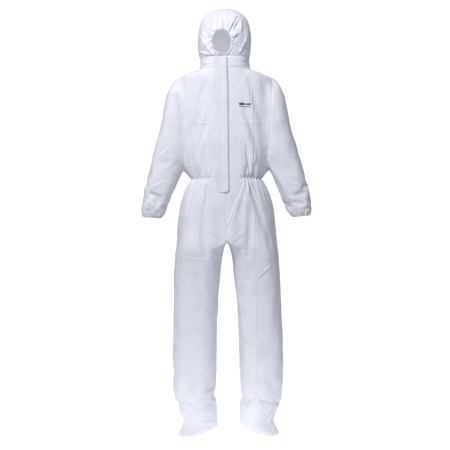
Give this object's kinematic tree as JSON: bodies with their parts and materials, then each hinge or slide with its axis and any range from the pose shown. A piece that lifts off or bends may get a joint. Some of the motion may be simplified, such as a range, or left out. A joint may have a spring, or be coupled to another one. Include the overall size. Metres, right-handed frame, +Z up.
{
  "type": "chemical protective suit",
  "caption": "Hooded protective coverall with attached boots, elasticated hood, waist and cuffs, and a front zip under a storm flap",
  "frame": {"origin": "centre of the neck at the height of the neck seam, where the suit rests on the wearer's shoulders", "axes": "+Z up along the body, the front faces -Y, +X is the wearer's left"},
  "size_m": [0.74, 0.3012, 1.841],
  "materials": {
    "fabric": "matte white nonwoven with a fine embossed point pattern and a soft sheen",
    "elastic": "white braided elastic",
    "sole": "pale grey textured nonwoven, slightly tacky",
    "zip_tape": "white woven tape",
    "zip_coil": "white moulded nylon",
    "zip_slider": "white lacquered zinc",
    "adhesive": "smooth release paper",
    "mark": "flat navy print"
  },
  "bodies": {
    "trunk": {"front_panel_left": "fabric", "front_panel_right": "fabric", "back_panel_left": "fabric", "back_panel_right": "fabric", "waist_elastic": "elastic", "neck_band": "fabric", "zip_tape_left": "zip_tape", "zip_tape_right": "zip_tape", "zip_coil_left": "zip_coil", "zip_coil_right": "zip_coil", "zip_top_stop_left": "zip_coil", "zip_top_stop_right": "zip_coil", "zip_bottom_stop": "zip_coil", "flap_seam_welt": "fabric", "chest_mark": "mark"},
    "hood": {"hood_centre_panel": "fabric", "hood_side_panel_left": "fabric", "hood_side_panel_right": "fabric", "hood_face_hem": "fabric", "hood_face_elastic": "elastic"},
    "sleeve_left": {"sleeve_left": "fabric", "cuff_hem_left": "fabric", "cuff_elastic_left": "elastic"},
    "sleeve_right": {"sleeve_right": "fabric", "cuff_hem_right": "fabric", "cuff_elastic_right": "elastic"},
    "leg_left": {"leg_front_left": "fabric", "leg_back_left": "fabric", "boot_outer_left": "fabric", "boot_inner_left": "fabric", "boot_sole_left": "sole"},
    "leg_right": {"leg_front_right": "fabric", "leg_back_right": "fabric", "boot_outer_right": "fabric", "boot_inner_right": "fabric", "boot_sole_right": "sole"},
    "flap": {"storm_flap": "fabric", "flap_adhesive_strip": "adhesive"},
    "slider": {"zip_slider": "zip_slider", "zip_pull_pin": "zip_slider"},
    "pull": {"zip_pull": "zip_slider"}
  },
  "joints": [
    {"name": "hood_fold", "type": "hinge", "parent": "trunk", "child": "hood", "pos_m": [0, 0.112, 0.028], "axis": [-1, 0, 0], "range_deg": [0, 75]},
    {"name": "sleeve_left_raise", "type": "hinge", "parent": "trunk", "child": "sleeve_left", "pos_m": [0.207, 0.004, -0.027], "axis": [0, -1, 0], "range_deg": [0, 70]},
    {"name": "sleeve_right_raise", "type": "hinge", "parent": "trunk", "child": "sleeve_right", "pos_m": [-0.207, 0.004, -0.027], "axis": [0, 1, 0], "range_deg": [0, 70]},
    {"name": "leg_left_swing", "type": "hinge", "parent": "trunk", "child": "leg_left", "pos_m": [0.12, 0, -0.672], "axis": [-1, 0, 0], "range_deg": [-15, 45]},
    {"name": "leg_right_swing", "type": "hinge", "parent": "trunk", "child": "leg_right", "pos_m": [-0.12, 0, -0.672], "axis": [-1, 0, 0], "range_deg": [-15, 45]},
    {"name": "flap_open", "type": "hinge", "parent": "trunk", "child": "flap", "pos_m": [-0.0373, -0.14639, -0.51568], "axis": [0, -0.0498, -0.9988], "range_deg": [0, 150]},
    {"name": "zip_slide", "type": "slide", "parent": "trunk", "child": "slider", "axis": [0, -0.0498, -0.9988], "range_m": [0, 0.515]},
    {"name": "pull_swing", "type": "hinge", "parent": "slider", "child": "pull", "pos_m": [0, -0.11564, 0.02112], "axis": [-1, 0, 0], "range_deg": [0, 5]}
  ]
}
